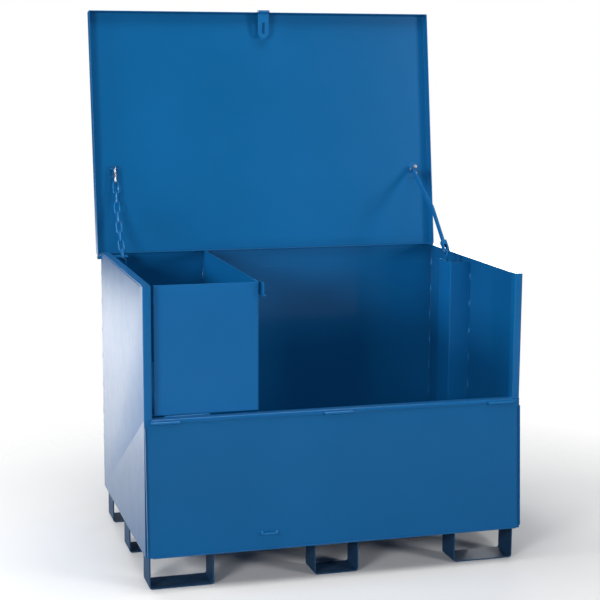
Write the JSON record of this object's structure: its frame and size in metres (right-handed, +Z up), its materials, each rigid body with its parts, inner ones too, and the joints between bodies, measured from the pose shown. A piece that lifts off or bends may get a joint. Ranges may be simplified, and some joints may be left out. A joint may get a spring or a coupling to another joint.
{
  "type": "jobsite storage box",
  "caption": "Steel site box on strap feet, with a hinged lid, a fold-down front flap, an inner tool bin, a lid chain and a sliding lid stay.",
  "frame": {"origin": "on the ground under the middle of the body, on the underside of the middle foot", "axes": "+X to the right seen from the front, +Y to the back, +Z up"},
  "size_m": [1.22, 1.0058, 1.745],
  "materials": {
    "box_enamel": "glossy mid blue enamel on folded steel sheet",
    "interior_enamel": "glossy mid blue enamel, in shade",
    "bin_enamel": "glossy mid blue enamel",
    "lid_enamel": "glossy mid blue enamel",
    "flap_enamel": "glossy mid blue enamel",
    "foot_enamel": "dark navy enamel on bent strap",
    "fitting_enamel": "blue enamel over small welded and pressed fittings",
    "zinc_plate": "bright zinc plating",
    "plain_steel": "bare drawn steel"
  },
  "bodies": {
    "box_body": {"left_side_panel": "box_enamel", "right_side_panel": "box_enamel", "back_panel": "box_enamel", "floor_panel": "interior_enamel", "lower_front_panel": "box_enamel", "foot_front_left": "foot_enamel", "foot_front_centre": "foot_enamel", "foot_front_right": "foot_enamel", "foot_middle_left": "foot_enamel", "foot_middle_centre": "foot_enamel", "foot_middle_right": "foot_enamel", "foot_back_left": "foot_enamel", "foot_back_centre": "foot_enamel", "foot_back_right": "foot_enamel", "bin_front_panel": "bin_enamel", "bin_divider": "bin_enamel", "bin_floor": "interior_enamel", "flap_catch": "fitting_enamel", "stay_guard": "interior_enamel", "chain_wall_tab": "fitting_enamel", "lid_hinge_body_leaf_left": "fitting_enamel", "lid_hinge_body_leaf_centre": "fitting_enamel", "lid_hinge_body_leaf_right": "fitting_enamel", "lid_hinge_pin_left": "plain_steel", "lid_hinge_pin_centre": "plain_steel", "lid_hinge_pin_right": "plain_steel", "flap_hinge_ledge_leaf_left": "fitting_enamel", "flap_hinge_ledge_leaf_centre": "fitting_enamel", "flap_hinge_ledge_leaf_right": "fitting_enamel"},
    "lid": {"lid_panel": "lid_enamel", "lid_hinge_lid_leaf_left": "fitting_enamel", "lid_hinge_lid_leaf_centre": "fitting_enamel", "lid_hinge_lid_leaf_right": "fitting_enamel", "hasp_rim_leaf": "fitting_enamel", "hasp_pin": "plain_steel", "stay_bracket": "fitting_enamel", "stay_bracket_bolt_upper": "zinc_plate", "stay_bracket_bolt_lower": "zinc_plate", "stay_top_pin": "zinc_plate", "chain_lid_eye": "fitting_enamel"},
    "flap": {"flap_panel": "flap_enamel", "flap_hinge_knuckle_left": "fitting_enamel", "flap_hinge_knuckle_centre": "fitting_enamel", "flap_hinge_knuckle_right": "fitting_enamel", "padlock_eye": "fitting_enamel", "flap_keeper_loop": "fitting_enamel"},
    "hasp": {"hasp_strap": "fitting_enamel"},
    "stay_arm": {"stay_arm": "fitting_enamel", "stay_knee_pin": "zinc_plate"},
    "stay_drop_bar": {"stay_drop_bar": "fitting_enamel"},
    "chain_quick_link": {"chain_quick_link": "zinc_plate"},
    "chain_link_1": {"chain_link_1": "fitting_enamel"},
    "chain_link_2": {"chain_link_2": "fitting_enamel"},
    "chain_link_3": {"chain_link_3": "fitting_enamel"},
    "chain_link_4": {"chain_link_4": "fitting_enamel"},
    "chain_link_5": {"chain_link_5": "fitting_enamel"},
    "chain_link_6": {"chain_link_6": "fitting_enamel"},
    "chain_link_7": {"chain_link_7": "fitting_enamel"},
    "chain_link_8": {"chain_link_8": "fitting_enamel"},
    "chain_link_9": {"chain_link_9": "fitting_enamel"}
  },
  "joints": [
    {"name": "lid_hinge", "type": "hinge", "parent": "box_body", "child": "lid", "pos_m": [0, 0.422, 0.907], "axis": [1, 0, 0], "range_deg": [0, 98.1]},
    {"name": "flap_hinge", "type": "hinge", "parent": "box_body", "child": "flap", "pos_m": [0, -0.4053, 0.517], "axis": [-1, 0, 0], "range_deg": [0, 176.06]},
    {"name": "hasp_hinge", "type": "hinge", "parent": "lid", "child": "hasp", "pos_m": [0, 0.51682, 1.74005], "axis": [1, 0, 0], "range_deg": [-98.1, 0]},
    {"name": "stay_swing", "type": "hinge", "parent": "lid", "child": "stay_arm", "pos_m": [0.542, 0.46145, 1.18421], "axis": [1, 0, 0], "range_deg": [-60, 0]},
    {"name": "stay_knee", "type": "hinge", "parent": "stay_arm", "child": "stay_drop_bar", "pos_m": [0.542, 0.108, 0.932], "axis": [1, 0, 0], "range_deg": [-60, 0]},
    {"name": "chain_quick_link_pivot", "type": "hinge", "parent": "lid", "child": "chain_quick_link", "pos_m": [-0.538, 0.46519, 1.20337], "axis": [1, 0, 0], "range_deg": [-100, 20]},
    {"name": "chain_link_1_pivot", "type": "hinge", "parent": "chain_quick_link", "child": "chain_link_1", "pos_m": [-0.538, 0.45638, 1.15971], "axis": [1, 0, 0], "range_deg": [-20, 20]},
    {"name": "chain_link_2_pivot", "type": "hinge", "parent": "chain_link_1", "child": "chain_link_2", "pos_m": [-0.538, 0.44542, 1.11989], "axis": [1, 0, 0], "range_deg": [-20, 20]},
    {"name": "chain_link_3_pivot", "type": "hinge", "parent": "chain_link_2", "child": "chain_link_3", "pos_m": [-0.538, 0.43555, 1.09187], "axis": [1, 0, 0], "range_deg": [-20, 20]},
    {"name": "chain_link_4_pivot", "type": "hinge", "parent": "chain_link_3", "child": "chain_link_4", "pos_m": [-0.538, 0.41915, 1.05397], "axis": [1, 0, 0], "range_deg": [-20, 20]},
    {"name": "chain_link_5_pivot", "type": "hinge", "parent": "chain_link_4", "child": "chain_link_5", "pos_m": [-0.538, 0.40548, 1.0276], "axis": [1, 0, 0], "range_deg": [-20, 20]},
    {"name": "chain_link_6_pivot", "type": "hinge", "parent": "chain_link_5", "child": "chain_link_6", "pos_m": [-0.538, 0.38396, 0.99235], "axis": [1, 0, 0], "range_deg": [-20, 20]},
    {"name": "chain_link_7_pivot", "type": "hinge", "parent": "chain_link_6", "child": "chain_link_7", "pos_m": [-0.538, 0.36676, 0.96814], "axis": [1, 0, 0], "range_deg": [-20, 20]},
    {"name": "chain_link_8_pivot", "type": "hinge", "parent": "chain_link_7", "child": "chain_link_8", "pos_m": [-0.538, 0.34054, 0.93623], "axis": [1, 0, 0], "range_deg": [-20, 20]},
    {"name": "chain_link_9_pivot", "type": "hinge", "parent": "chain_link_8", "child": "chain_link_9", "pos_m": [-0.538, 0.32014, 0.91465], "axis": [1, 0, 0], "range_deg": [-60, 20]}
  ],
  "couplings": [
    {"joint": "hasp_hinge", "follows": "lid_hinge", "ratio": -1},
    {"joint": "stay_swing", "follows": "lid_hinge", "ratio": -0.44},
    {"joint": "stay_knee", "follows": "lid_hinge", "ratio": -0.56},
    {"joint": "chain_quick_link_pivot", "follows": "lid_hinge", "ratio": -0.88379},
    {"joint": "chain_link_1_pivot", "follows": "lid_hinge", "ratio": 0.04077},
    {"joint": "chain_link_2_pivot", "follows": "lid_hinge", "ratio": 0.04077},
    {"joint": "chain_link_3_pivot", "follows": "lid_hinge", "ratio": 0.04077},
    {"joint": "chain_link_4_pivot", "follows": "lid_hinge", "ratio": 0.04077},
    {"joint": "chain_link_5_pivot", "follows": "lid_hinge", "ratio": 0.04077},
    {"joint": "chain_link_6_pivot", "follows": "lid_hinge", "ratio": 0.04077},
    {"joint": "chain_link_7_pivot", "follows": "lid_hinge", "ratio": 0.04077},
    {"joint": "chain_link_8_pivot", "follows": "lid_hinge", "ratio": 0.04077},
    {"joint": "chain_link_9_pivot", "follows": "lid_hinge", "ratio": -0.44241}
  ]
}
